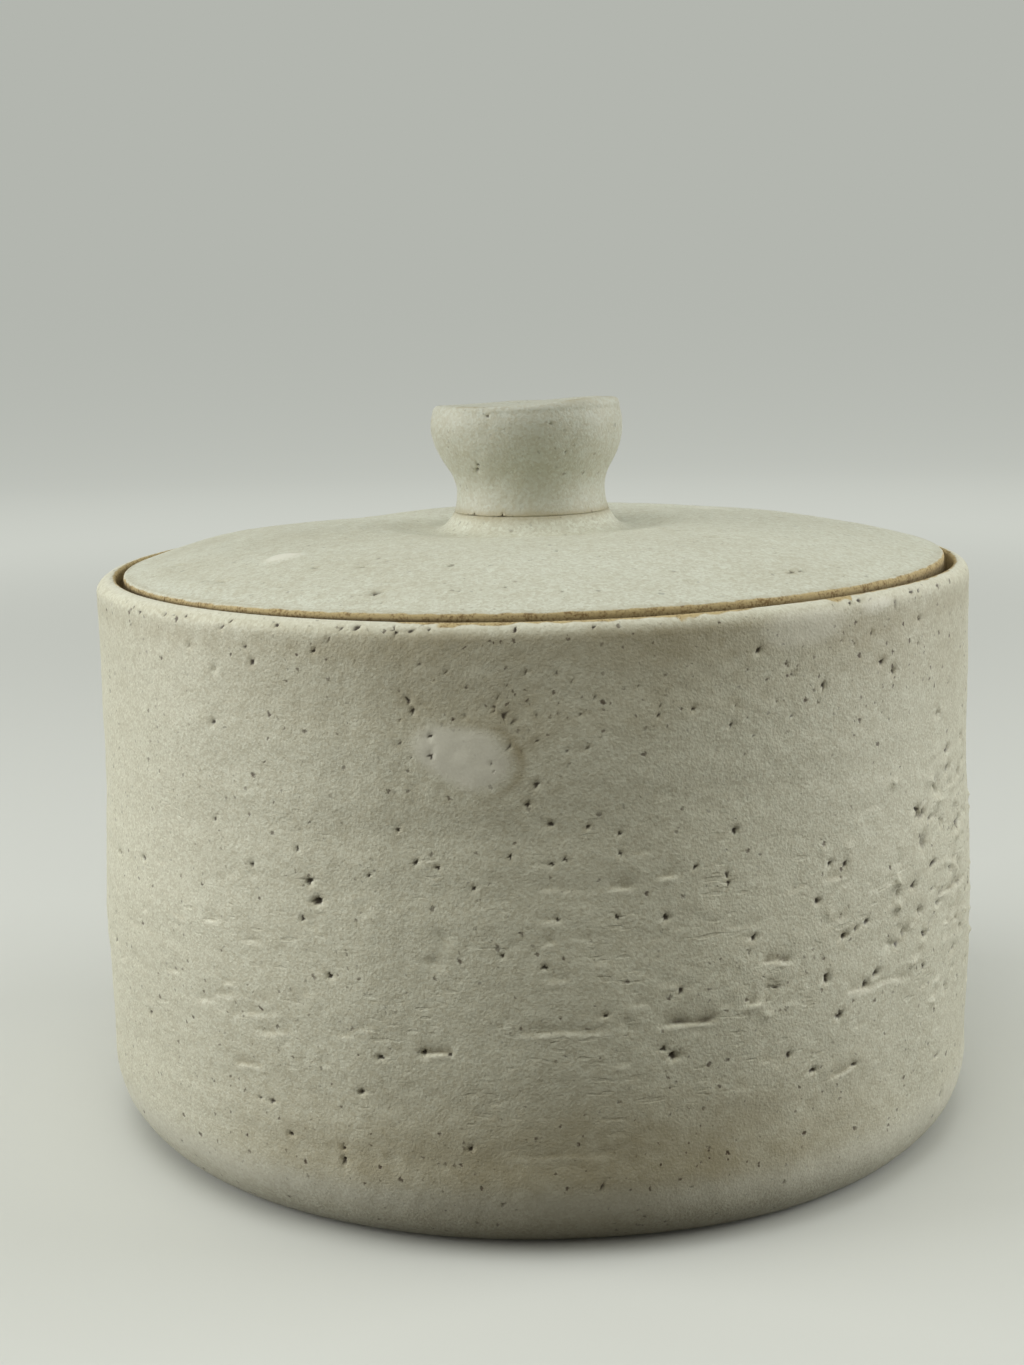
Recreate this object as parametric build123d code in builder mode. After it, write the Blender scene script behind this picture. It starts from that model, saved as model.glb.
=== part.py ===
"""Lidded stoneware jar: a wheel-thrown pot with an inset lid that rests on a ledge inside the rim.

All sizes are in millimetres. +Z is up. The origin is the centre of the foot ring, on the surface
that the jar stands on. Every piece is turned on the wheel, so each one is half a section, drawn as
radius against height and revolved about Z.
"""

import os

from build123d import *

# Jar: outside
rim_diameter = 130.0        # across the outside of the lip
rim_height = 82.0           # from the table to the top of the lip
lip_width = 2.6             # from the lip's outside in to the gallery wall
lip_round = 3.2             # height of the rounding on the lip's outside
lip_edge_radius = 0.5       # softened inner edge of the lip
waist_inset = 0.5           # how far the waist draws in from the lip
waist_drop = 21.0           # from the top of the lip down to the waist
belly_swell = 0.7           # how far the belly stands out past the lip
belly_rise = 18.5           # from the top of the heel up to the belly
heel_inset = 0.2            # how far the wall draws in again, from the belly to the heel
heel_width = 8.6            # rounding from the wall to the foot, seen from below
heel_height = 12.0          # the same rounding, seen from the side

# Jar: foot and inside
foot_ring_width = 9.0       # flat ring that the jar stands on
foot_recess = 1.2           # depth of the trimmed recess inside the ring
foot_bevel = 2.0            # width of the slope from the ring up into the recess
floor_thickness = 5.5
wall_thickness = 4.8
inner_heel_radius = 11.0    # rounding from the floor to the wall, inside

# Jar: gallery, the ledge that carries the lid
gallery_depth = 4.0         # from the top of the lip down to the ledge
gallery_corner_radius = 0.8
ledge_width = 5.6
ledge_thickness = 3.0       # at the ledge's inner edge
ledge_edge_radius = 1.0
ledge_fairing = 9.0         # height over which the ledge's underside runs out into the wall

# Lid
lid_clearance = 1.5         # radial gap between the lid and the gallery wall
lid_edge_height = 4.8       # bare upright edge, from the seat to where the glaze begins
lid_edge_radius = 1.0       # rounding from the upright edge to the top
lid_seat_radius = 0.6       # rounding under the upright edge
lid_seat_overlap = 2.0      # how far the flat seat runs in past the ledge
lid_thickness = 5.5         # at the crest of the dome
dome_rise = 5.0             # from the edge to the crest
dome_crest_diameter = 46.0
trough_diameter = 31.0      # shallow trough around the boss
trough_depth = 0.8          # below the crest
boss_height = 2.6           # from the trough to the seam under the knob
boss_slope = 66.0           # degrees from level, at the seam

# Knob
knob_foot_diameter = 23.3   # at the seam
knob_neck_diameter = 22.1
knob_neck_height = 2.9      # above the seam
knob_diameter = 28.6        # at the widest
knob_widest_height = 12.9
knob_height = 15.9
knob_top_inset = 0.5        # how far the top draws in from the widest part
knob_top_radius = 1.0
knob_land_width = 1.8       # ring around the dish in the top
knob_dish_depth = 0.7

# Radii and heights that follow from the sizes above
rim_radius = rim_diameter / 2
lip_base_height = rim_height - lip_round
lip_top_radius = rim_radius - lip_width + lip_edge_radius
waist_radius = rim_radius - waist_inset
waist_height = rim_height - waist_drop
belly_radius = rim_radius + belly_swell
belly_height = heel_height + belly_rise
heel_wall_radius = belly_radius - heel_inset
foot_outer_radius = heel_wall_radius - heel_width
foot_inner_radius = foot_outer_radius - foot_ring_width
recess_radius = foot_inner_radius - foot_bevel

floor_height = foot_recess + floor_thickness
inner_belly_radius = belly_radius - wall_thickness
inner_waist_radius = waist_radius - wall_thickness
inner_heel_height = floor_height + inner_heel_radius
inner_heel_start = inner_belly_radius - inner_heel_radius

gallery_radius = rim_radius - lip_width
ledge_height = rim_height - gallery_depth
throat_radius = gallery_radius - ledge_width
throat_height = ledge_height - ledge_thickness
fairing_height = throat_height - ledge_fairing

lid_radius = gallery_radius - lid_clearance
lid_dish_radius = throat_radius - lid_seat_overlap
crest_radius = dome_crest_diameter / 2
crest_height = lid_edge_height + dome_rise
lid_dish_height = crest_height - lid_thickness
trough_radius = trough_diameter / 2
trough_height = crest_height - trough_depth
boss_radius = knob_foot_diameter / 2
boss_top = trough_height + boss_height

knob_neck_radius = knob_neck_diameter / 2
knob_radius = knob_diameter / 2
knob_top_edge = knob_radius - knob_top_inset
knob_dish_radius = knob_top_edge - knob_land_width
knob_dish_floor = knob_height - knob_dish_depth

upward = (0, 1)
downward = (0, -1)
outward = (1, 0)
down_the_boss = Vector(1, 0).rotate(Axis.Z, -boss_slope)


def section_at(height: float) -> Plane:
    """Give the upright plane whose x is the radius and whose y is the height above the given one."""
    return Plane(origin=(0, 0, height), x_dir=(1, 0, 0), z_dir=(0, -1, 0))


def round_corner(profile: BuildSketch, corner: tuple[float, float], radius: float) -> None:
    """Round the corner of the profile that lies at the given radius and height."""
    fillet(profile.vertices().sort_by_distance(corner)[0], radius=radius)


os.makedirs("parts", exist_ok=True)

# The pot: foot ring, heel, wall, lip, gallery, wall inside and floor
with BuildPart() as jar_body:
    with BuildSketch(section_at(0)) as jar_profile:
        with BuildLine():
            Polyline(
                (0, floor_height),
                (0, foot_recess),
                (recess_radius, foot_recess),
                (foot_inner_radius, 0),
                (foot_outer_radius, 0),
            )
            EllipticalCenterArc(
                (foot_outer_radius, heel_height),
                x_radius=heel_width,
                y_radius=heel_height,
                start_angle=-90,
                arc_size=90,
            )
            Spline(
                (heel_wall_radius, heel_height),
                (belly_radius, belly_height),
                (waist_radius, waist_height),
                (rim_radius, lip_base_height),
                tangents=[upward] * 4,
            )
            EllipticalCenterArc(
                (lip_top_radius, lip_base_height),
                x_radius=lip_width - lip_edge_radius,
                y_radius=lip_round,
                start_angle=0,
                arc_size=90,
            )
            CenterArc(
                (lip_top_radius, rim_height - lip_edge_radius),
                lip_edge_radius,
                start_angle=90,
                arc_size=90,
            )
            Polyline(
                (gallery_radius, rim_height - lip_edge_radius),
                (gallery_radius, ledge_height),
                (throat_radius, ledge_height),
                (throat_radius, throat_height),
            )
            Spline(
                (throat_radius, throat_height),
                (inner_waist_radius, fairing_height),
                (inner_belly_radius, inner_heel_height),
                tangents=[(1, -1), downward, downward],
            )
            CenterArc(
                (inner_heel_start, inner_heel_height), inner_heel_radius, start_angle=0, arc_size=-90
            )
            Line((inner_heel_start, floor_height), (0, floor_height))
        make_face()
        round_corner(jar_profile, (gallery_radius, ledge_height), gallery_corner_radius)
        round_corner(jar_profile, (throat_radius, ledge_height), ledge_edge_radius)
    revolve(axis=Axis.Z)
jar_body.part.label = "jar_body"
export_step(jar_body.part, "parts/jar_body.step")

# The lid: dished underside, flat seat, bare upright edge, domed top, trough and boss
with BuildPart() as lid_plate:
    with BuildSketch(section_at(ledge_height)) as lid_profile:
        with BuildLine():
            Polyline((boss_radius, boss_top), (0, boss_top), (0, lid_dish_height))
            TangentArc((0, lid_dish_height), (lid_dish_radius, 0), tangent=outward)
            Polyline((lid_dish_radius, 0), (lid_radius, 0), (lid_radius, lid_edge_height))
            TangentArc((crest_radius, crest_height), (lid_radius, lid_edge_height), tangent=outward)
            Spline(
                (boss_radius, boss_top),
                (trough_radius, trough_height),
                (crest_radius, crest_height),
                tangents=[down_the_boss, outward, outward],
            )
        make_face()
        round_corner(lid_profile, (lid_radius, lid_edge_height), lid_edge_radius)
        round_corner(lid_profile, (lid_radius, 0), lid_seat_radius)
    revolve(axis=Axis.Z)
lid_plate.part.label = "lid_plate"
export_step(lid_plate.part, "parts/lid_plate.step")

# The knob: flat foot on the boss, neck, flared cup and a dished top
with BuildPart() as lid_knob:
    with BuildSketch(section_at(ledge_height + boss_top)) as knob_profile:
        with BuildLine():
            Polyline((0, knob_dish_floor), (0, 0), (boss_radius, 0))
            Spline(
                (boss_radius, 0),
                (knob_neck_radius, knob_neck_height),
                (knob_radius, knob_widest_height),
                tangents=[(-1, 2), upward, upward],
            )
            TangentArc(
                (knob_radius, knob_widest_height), (knob_top_edge, knob_height), tangent=upward
            )
            Line((knob_top_edge, knob_height), (knob_dish_radius, knob_height))
            TangentArc((0, knob_dish_floor), (knob_dish_radius, knob_height), tangent=outward)
        make_face()
        round_corner(knob_profile, (knob_top_edge, knob_height), knob_top_radius)
    revolve(axis=Axis.Z)
lid_knob.part.label = "lid_knob"
export_step(lid_knob.part, "parts/lid_knob.step")
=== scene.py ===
"""Dressed model of a lidded stoneware jar: pot, inset lid and knob under a speckled matte glaze.

Lengths are in millimetres until a mesh is written, which is in metres. Azimuths are degrees round the
jar, from the front (-Y) towards the viewer's right (+X). Every piece is turned on a wheel, so it is a
surface of two parameters: the azimuth, and the distance along the outline of its half-section.
"""

import logging
import math
from dataclasses import dataclass, field
from enum import Enum, IntEnum
from typing import NamedTuple, Sequence, Union

import bpy
import numpy as np
from mathutils import Matrix, Vector


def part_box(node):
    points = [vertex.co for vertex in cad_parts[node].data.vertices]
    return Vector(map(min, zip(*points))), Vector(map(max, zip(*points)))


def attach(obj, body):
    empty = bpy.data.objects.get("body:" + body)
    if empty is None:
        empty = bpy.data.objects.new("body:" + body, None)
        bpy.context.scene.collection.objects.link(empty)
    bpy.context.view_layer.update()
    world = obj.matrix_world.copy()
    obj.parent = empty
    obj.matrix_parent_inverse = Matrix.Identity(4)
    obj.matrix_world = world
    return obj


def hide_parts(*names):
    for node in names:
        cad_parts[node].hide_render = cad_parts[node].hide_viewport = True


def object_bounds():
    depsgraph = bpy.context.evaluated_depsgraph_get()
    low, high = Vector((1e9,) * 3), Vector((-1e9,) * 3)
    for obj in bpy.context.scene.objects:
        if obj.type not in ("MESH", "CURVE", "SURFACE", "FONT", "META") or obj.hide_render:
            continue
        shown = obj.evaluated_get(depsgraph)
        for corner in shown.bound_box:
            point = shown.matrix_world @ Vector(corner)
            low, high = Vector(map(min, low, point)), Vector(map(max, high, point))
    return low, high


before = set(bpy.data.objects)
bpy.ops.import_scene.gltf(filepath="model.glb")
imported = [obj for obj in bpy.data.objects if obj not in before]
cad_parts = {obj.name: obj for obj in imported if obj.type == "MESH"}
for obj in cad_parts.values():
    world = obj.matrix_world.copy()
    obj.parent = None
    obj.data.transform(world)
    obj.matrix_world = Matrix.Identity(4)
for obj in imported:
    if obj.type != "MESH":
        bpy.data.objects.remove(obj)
CAD_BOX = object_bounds()

MM = 0.001
RIPPLE_WAVES = 24
LOG = logging.getLogger("stoneware_jar")

Colour = tuple[float, float, float, float]
Feed = Union["Value", float, Sequence[float]]


def painted(red: int, green: int, blue: int) -> Colour:
    """Turn a colour given as display values of 0 to 255 into the linear colour that a shader takes.

    Args:
        red: display red.
        green: display green.
        blue: display blue.

    Returns:
        Linear red, green and blue, and an alpha of 1.
    """
    shares = np.array([red, green, blue]) / 255.0
    linear = np.where(shares <= 0.04045, shares / 12.92, ((shares + 0.055) / 1.055) ** 2.4)
    return (float(linear[0]), float(linear[1]), float(linear[2]), 1.0)


def smooth_step(share: np.ndarray) -> np.ndarray:
    """Ease from 0 to 1: three times the square less twice the cube of the share, held at both ends."""
    held = np.clip(share, 0.0, 1.0)
    return held * held * (3.0 - 2.0 * held)


def rise(value: np.ndarray, low: float, high: float) -> np.ndarray:
    """Ease from 0 where the value is low to 1 where it is high."""
    return smooth_step((value - low) / (high - low))


def window(value: np.ndarray, half_width: float, edge: float) -> np.ndarray:
    """Give 1 within a half width of zero, easing to 0 over the given edge beyond it."""
    return 1.0 - rise(np.abs(value), half_width, half_width + edge)


def bell(value: np.ndarray, width: float) -> np.ndarray:
    """Give 1 where the value is zero, falling off on both sides as a bell curve of the given width."""
    return np.exp(-(value / width) ** 2)


def wrapped(azimuth: np.ndarray) -> np.ndarray:
    """Bring azimuths between -180 and 180 degrees."""
    return (azimuth + 180.0) % 360.0 - 180.0


class Bell(NamedTuple):
    """Something that is strongest at one place and falls off on both sides as a bell curve."""

    strength: float
    middle: float
    width: float

    def at(self, value: np.ndarray) -> np.ndarray:
        """Give the strength at each value."""
        return self.strength * bell(value - self.middle, self.width)


class Sector(NamedTuple):
    """Something that is strong part of the way round a piece, and eases off over an edge, in degrees."""

    strength: float
    middle: float
    half_width: float
    edge: float

    def at(self, turn: np.ndarray) -> np.ndarray:
        """Give the strength at each azimuth."""
        return self.strength * window(turn - self.middle, self.half_width, self.edge)


class Ripple(NamedTuple):
    """A smooth random field over space.

    The field is a sum of cosine waves of seeded directions, lengths near one wavelength and seeded
    phases, scaled so that its spread is the strength. The stretch says how many times longer the waves
    are along X, Y and Z.
    """

    strength: float
    wavelength: float
    seed: int
    stretch: tuple[float, float, float] = (1.0, 1.0, 1.0)

    def at(self, points: np.ndarray) -> np.ndarray:
        """Work out the field.

        Args:
            points: places in millimetres, one row each.

        Returns:
            The field's value at each point.
        """
        draw = np.random.default_rng(self.seed)
        heading = draw.normal(size=(RIPPLE_WAVES, 3))
        heading /= np.linalg.norm(heading, axis=1, keepdims=True)
        length = self.wavelength * draw.uniform(0.7, 1.4, size=(RIPPLE_WAVES, 1))
        phase = draw.uniform(0.0, math.tau, size=RIPPLE_WAVES)
        turns = math.tau * heading / length / np.array(self.stretch)
        waves = np.cos(points @ turns.T + phase).sum(axis=1)
        return self.strength * (waves * math.sqrt(2.0 / RIPPLE_WAVES))


def total(parts: Sequence[Union[Bell, Sector, Ripple]], where: np.ndarray) -> np.ndarray:
    """Add up several bells, sectors or ripples, at the same values or points."""
    return sum(part.at(where) for part in parts)


class Value:
    """An output socket that can be used in sums: each operator adds one Math node."""

    def __init__(self, shader: "Shader", socket: bpy.types.NodeSocket) -> None:
        """Wrap a socket of a shader's node."""
        self.shader = shader
        self.socket = socket

    def __add__(self, other: Feed) -> "Value":
        """Add a value or a number."""
        return self.shader.math("ADD", self, other)

    def __radd__(self, other: Feed) -> "Value":
        """Add this value to a number."""
        return self.shader.math("ADD", other, self)

    def __sub__(self, other: Feed) -> "Value":
        """Take a value or a number away."""
        return self.shader.math("SUBTRACT", self, other)

    def __rsub__(self, other: Feed) -> "Value":
        """Take this value away from a number."""
        return self.shader.math("SUBTRACT", other, self)

    def __mul__(self, other: Feed) -> "Value":
        """Multiply by a value or a number."""
        return self.shader.math("MULTIPLY", self, other)

    def __rmul__(self, other: Feed) -> "Value":
        """Multiply a number by this value."""
        return self.shader.math("MULTIPLY", other, self)

    def ease(self, low: Feed, high: Feed) -> "Value":
        """Rise smoothly from 0 where this value is low to 1 where it is high."""
        feeds = {"Value": self, "From Min": low, "From Max": high}
        return self.shader.add("ShaderNodeMapRange", {"interpolation_type": "SMOOTHSTEP"}, feeds)


class Shader:
    """The nodes of a material or a world, written as expressions on their sockets."""

    def __init__(self, owner: Union[bpy.types.Material, bpy.types.World]) -> None:
        """Start with no nodes."""
        owner.use_nodes = True
        self.tree = owner.node_tree
        self.tree.nodes.clear()

    def node(self, kind: str, settings: dict | None = None, feeds: dict | None = None) -> bpy.types.Node:
        """Add a node.

        Args:
            kind: the node's type.
            settings: properties of the node, set first.
            feeds: numbers, colours or values for its input sockets, by name or number.

        Returns:
            The node.
        """
        node = self.tree.nodes.new(kind)
        for name, setting in (settings or {}).items():
            setattr(node, name, setting)
        for key, feed in (feeds or {}).items():
            if isinstance(feed, Value):
                self.tree.links.new(feed.socket, node.inputs[key])
            else:
                node.inputs[key].default_value = feed
        return node

    def add(self, kind: str, settings: dict | None = None, feeds: dict | None = None,
            output: int | str = 0) -> Value:
        """Add a node and hand back one of its outputs, by name or number."""
        return Value(self, self.node(kind, settings, feeds).outputs[output])

    def math(self, operation: str, first: Feed, second: Feed) -> Value:
        """Add a Math node on two values or numbers."""
        return self.add("ShaderNodeMath", {"operation": operation}, {0: first, 1: second})

    def blend(self, share: Feed, under: Feed, over: Feed) -> Value:
        """Mix two colours: the first where the share is 0, the second where it is 1."""
        feeds = {"Factor": share, 6: under, 7: over}
        return self.add("ShaderNodeMix", {"data_type": "RGBA"}, feeds, output=2)

    def attribute(self, name: str) -> Value:
        """Read a number that the mesh holds at each point."""
        return self.add("ShaderNodeAttribute", {"attribute_name": name}, output="Fac")

    def place(self) -> Value:
        """Read the place on the piece, in metres."""
        return self.add("ShaderNodeTexCoord", output="Object")

    def stretched(self, place: Value, scale: Sequence[float]) -> Value:
        """Scale the place along X, Y and Z."""
        return self.add("ShaderNodeVectorMath", {"operation": "MULTIPLY"}, {0: place, 1: scale})

    def jittered(self, place: Value, size: float, reach: float) -> Value:
        """Shift the place this way and that by up to half the reach, in clouds of a size, both in mm."""
        feeds = {"Vector": place, "Scale": 1.0 / (size * MM)}
        cloud = self.add("ShaderNodeTexNoise", None, feeds, output="Color")
        shift = self.add("ShaderNodeVectorMath", {"operation": "SUBTRACT"}, {0: cloud, 1: (0.5, 0.5, 0.5)})
        scaled = {0: shift, 1: (reach * MM, reach * MM, reach * MM), 2: place}
        return self.add("ShaderNodeVectorMath", {"operation": "MULTIPLY_ADD"}, scaled)

    def noise(self, place: Value, size: float, detail: float = 2.0) -> Value:
        """Make a cloudy value about a half, with clouds of the given size in millimetres."""
        feeds = {"Vector": place, "Scale": 1.0 / (size * MM), "Detail": detail}
        return self.add("ShaderNodeTexNoise", None, feeds)

    def crumbs(self, place: Value, size: float) -> Value:
        """Give each crumb of the given size in millimetres a random value from 0 to 1."""
        feeds = {"Vector": place, "Scale": 1.0 / (size * MM)}
        cells = self.add("ShaderNodeTexVoronoi", None, feeds, output="Color")
        return self.add("ShaderNodeSeparateColor", None, {"Color": cells})

    def specks(self, place: Value, spacing: float, radius: float) -> Value:
        """Make round specks where a surface cuts through seeds scattered in space.

        Args:
            place: coordinates in metres.
            spacing: usual distance between seeds, in millimetres.
            radius: largest radius of a speck, in millimetres.

        Returns:
            Up to 1 inside a speck, less in a faint one, and 0 outside.
        """
        feeds = {"Vector": place, "Scale": 1.0 / (spacing * MM)}
        seeds = self.node("ShaderNodeTexVoronoi", None, feeds)
        chance = self.add("ShaderNodeSeparateColor", None, {"Color": Value(self, seeds.outputs["Color"])})
        reach = (0.25 + 0.75 * chance) * (radius / spacing)
        inside = 1.0 - Value(self, seeds.outputs["Distance"]).ease(0.35 * reach, reach)
        return inside * (0.35 + 0.65 * chance)


@dataclass(frozen=True)
class SpeckledGlaze:
    """Matte cream glaze with iron specks and a leathery grain, over sandy tan clay.

    The mesh says, point by point, how far inside the glaze's edge it lies (glaze, in millimetres, less
    than 0 on bare clay), how thinly the glaze runs (thin), where it pooled smooth (smooth), how deep a
    pit is (pit) and where the turning clay was dragged (drag). The thin and pit marks also carry painted
    shade, and the smooth mark carries painted highlights.
    """

    name: str
    speckle: float = 1.0
    cream: Colour = painted(219, 219, 197)
    pooled: Colour = painted(228, 226, 209)
    worn: Colour = painted(167, 158, 128)
    iron: Colour = painted(68, 52, 37)
    clay: Colour = painted(190, 172, 126)
    sand: Colour = painted(136, 114, 75)
    dark_floor_and_shade: Colour = painted(46, 33, 21)
    sheen: float = 0.35
    edge_wander: float = 0.6
    glaze_roughness: float = 0.58
    clay_roughness: float = 0.85
    grain_height: float = 0.07
    mottle_height: float = 0.03
    grain_contrast: float = 0.45
    drag_height: float = 0.05
    speck_depth: float = 0.06

    def material(self) -> bpy.types.Material:
        """Make the material.

        Returns:
            A material whose colour, roughness and bump follow the mesh's own attributes.
        """
        made = bpy.data.materials.new(self.name)
        shader = Shader(made)
        place = shader.place()
        thin = shader.attribute("thin")
        smooth = shader.attribute("smooth")
        pit = shader.attribute("pit")
        cloud = shader.noise(place, size=17.0, detail=3.0)
        mottle = shader.noise(place, size=1.7)
        grain = shader.noise(place, size=0.36, detail=1.0)
        drag = shader.noise(shader.stretched(place, (0.3, 0.3, 1.0)), size=0.9, detail=1.0)
        drag_clumps = shader.noise(place, size=9.0).ease(0.42, 0.62)
        sandy = shader.noise(place, size=0.35)
        ragged = shader.jittered(place, size=0.6, reach=0.9)
        clumps = shader.noise(place, size=11.0).ease(0.38, 0.62)
        specks = shader.specks(ragged, spacing=2.6, radius=0.5)
        dust = shader.specks(ragged, spacing=1.3, radius=0.34)

        edge_wander = (shader.noise(place, size=1.8) - 0.5) * self.edge_wander
        cover = (shader.attribute("glaze") + edge_wander).ease(-0.12, 0.2)
        rough_skin = 1.0 - 0.85 * smooth

        worn_share = thin * 0.75 + (cloud - 0.5) * 0.5 + (mottle - 0.5) * 0.5
        glaze = shader.blend(worn_share.ease(-0.1, 1.0) * rough_skin, self.cream, self.worn)
        # The pale pooled colour is smooth glaze, and on tear lips and the pot's lip crest it is also a
        # painted highlight.
        glaze = shader.blend(smooth * 0.8, glaze, self.pooled)
        stain = specks * (0.8 + 0.3 * thin) + dust * (0.15 + 0.5 * thin + 0.5 * clumps)
        stain = stain * rough_skin * self.speckle
        grainy = shader.crumbs(place, size=0.36) * rough_skin * self.grain_contrast
        glaze = shader.blend(grainy, glaze, self.worn)
        glaze = shader.blend(stain, glaze, self.iron)
        clay = shader.blend((sandy + (mottle - 0.5) * 0.6).ease(0.42, 0.75), self.clay, self.sand)
        skin = shader.blend(cover, clay, glaze)
        # The dark colour is the floor of pits and specks, and painted shade in dents, tear grooves and the
        # lid's edge gap.
        colour = shader.blend(pit.ease(0.15, 0.85) * 0.92, skin, self.dark_floor_and_shade)

        dragged = shader.attribute("drag") * drag_clumps * drag.ease(0.6, 0.72)
        height = grain * self.grain_height + mottle * self.mottle_height - dragged * self.drag_height
        height = height * rough_skin - specks * (self.speck_depth * self.speckle)
        bump = shader.add("ShaderNodeBump", None, {"Distance": MM, "Height": height}, output="Normal")
        roughness = self.clay_roughness - cover * (self.clay_roughness - self.glaze_roughness)
        roughness = roughness + (mottle - 0.5) * 0.14 - 0.12 * smooth

        feeds = {"Base Color": colour, "Roughness": roughness, "Normal": bump,
                 "Specular IOR Level": self.sheen}
        surface = shader.add("ShaderNodeBsdfPrincipled", None, feeds)
        shader.node("ShaderNodeOutputMaterial", None, {"Surface": surface})
        return made


@dataclass(frozen=True)
class BackdropPaper:
    """Plain matte paper of the floor and backdrop."""

    name: str = "backdrop_paper"
    colour: Colour = painted(214, 216, 209)
    bounce: Colour = painted(46, 39, 31)
    near_glow: Colour = painted(204, 207, 199)
    far_glow: Colour = painted(179, 182, 175)
    roughness: float = 0.95
    sheen: float = 0.1
    glow_reach: tuple[float, float] = (0.3, 0.8)
    dimming_reach: tuple[float, float] = (0.7, 1.5)

    def material(self) -> bpy.types.Material:
        """Make the material: pale paper that throws little light back, and glows evenly further off.

        The two reaches are distances from the middle in metres, over which the glow comes in and dims.

        Returns:
            The material.
        """
        made = bpy.data.materials.new(self.name)
        shader = Shader(made)
        place = shader.place()
        distance = shader.add("ShaderNodeVectorMath", {"operation": "LENGTH"}, {0: place}, output="Value")
        path = shader.node("ShaderNodeLightPath")
        seen = Value(shader, path.outputs["Is Camera Ray"]) + Value(shader, path.outputs["Is Glossy Ray"])
        colour = shader.blend(seen, self.bounce, self.colour)
        feeds = {"Base Color": colour, "Roughness": self.roughness, "Specular IOR Level": self.sheen}
        paper = shader.add("ShaderNodeBsdfPrincipled", None, feeds)
        glow = shader.blend(distance.ease(*self.dimming_reach), self.near_glow, self.far_glow)
        light = shader.add("ShaderNodeEmission", None, {"Color": glow})
        feeds = {0: seen * distance.ease(*self.glow_reach), 1: paper, 2: light}
        surface = shader.add("ShaderNodeMixShader", None, feeds)
        shader.node("ShaderNodeOutputMaterial", None, {"Surface": surface})
        return made


class Gait(Enum):
    """How a coordinate goes from its start to its end while a stretch of outline is covered."""

    STEADY = "in proportion"
    EASED = "slow at both ends"
    STARTING = "slow at the start, as a square"
    FLARING = "slow at the start, as a cube"
    SETTLING = "slow at the end, as a square"
    SINE = "as the sine of a quarter turn"
    COSINE = "as one less the cosine of a quarter turn"

    def share(self, covered: np.ndarray) -> np.ndarray:
        """Give the share of its way that the coordinate has gone when a share of the stretch is covered."""
        curves = {
            Gait.STEADY: covered,
            Gait.EASED: smooth_step(covered),
            Gait.STARTING: covered ** 2,
            Gait.FLARING: covered ** 3,
            Gait.SETTLING: 1.0 - (1.0 - covered) ** 2,
            Gait.SINE: np.sin(0.5 * math.pi * covered),
            Gait.COSINE: 1.0 - np.cos(0.5 * math.pi * covered),
        }
        return curves[self]


class Stretch(NamedTuple):
    """One stretch of an outline: where it ends, how far apart its rows are, and how it gets there."""

    radius: float
    height: float
    spacing: float
    out: Gait = Gait.STEADY
    up: Gait = Gait.STEADY


def turn_upright(radius: float, height: float, spacing: float) -> Stretch:
    """Make a quarter ellipse that leaves level and arrives upright."""
    return Stretch(radius, height, spacing, Gait.SINE, Gait.COSINE)


def turn_level(radius: float, height: float, spacing: float) -> Stretch:
    """Make a quarter ellipse that leaves upright and arrives level."""
    return Stretch(radius, height, spacing, Gait.COSINE, Gait.SINE)


class Outline:
    """Half-section of a turned piece, from the axis underneath it round to the axis on top.

    Its line is sampled closely, as radius, height and outward normal against the distance along it. The
    outward normal is the line's direction turned a quarter clockwise, so that it points down where the
    line runs out, out where it runs up and up where it runs in.
    """

    samples = 97

    def __init__(self, radius: float, height: float, stretches: Sequence[Stretch]) -> None:
        """Draw the stretches one after another.

        Args:
            radius: where the outline starts.
            height: the same, upwards.
            stretches: what follows.
        """
        covered = np.linspace(0.0, 1.0, self.samples)[1:]
        radii = [np.array([radius])]
        heights = [np.array([height])]
        for stretch in stretches:
            radii.append(radius + (stretch.radius - radius) * stretch.out.share(covered))
            heights.append(height + (stretch.height - height) * stretch.up.share(covered))
            radius, height = stretch.radius, stretch.height
        self.radius = np.concatenate(radii)
        self.height = np.concatenate(heights)
        steps = np.hypot(np.diff(self.radius), np.diff(self.height))
        self.along = np.concatenate([[0.0], np.cumsum(steps)])
        self.ends = self.along[:: self.samples - 1]
        outward = np.gradient(self.radius, self.along)
        upward = np.gradient(self.height, self.along)
        size = np.hypot(outward, upward)
        self.normal_out = upward / size
        self.normal_up = -outward / size
        counts = [math.ceil((b - a) / s.spacing) for a, b, s in zip(self.ends, self.ends[1:], stretches)]
        spans = [np.linspace(a, b, n + 1)[1:] for a, b, n in zip(self.ends, self.ends[1:], counts)]
        self.rows = np.concatenate([[0.0], *spans])

    def along_at_height(self, height: np.ndarray, first: int, last: int) -> np.ndarray:
        """Find where the line reaches a height, between the ends of two stretches, where it only rises."""
        part = slice(first * (self.samples - 1), last * (self.samples - 1) + 1)
        return np.interp(height, self.height[part], self.along[part])

    def along_at_radius(self, radius: np.ndarray, first: int, last: int) -> np.ndarray:
        """Find where the line reaches a radius, between the ends of two stretches, where it only runs in."""
        part = slice(first * (self.samples - 1), last * (self.samples - 1) + 1)
        return np.interp(-np.asarray(radius), -self.radius[part], self.along[part])


class Crowding(NamedTuple):
    """How points are drawn together towards a small mark: from how far, and how close at the mark."""

    reach: float
    closeness: float


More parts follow.
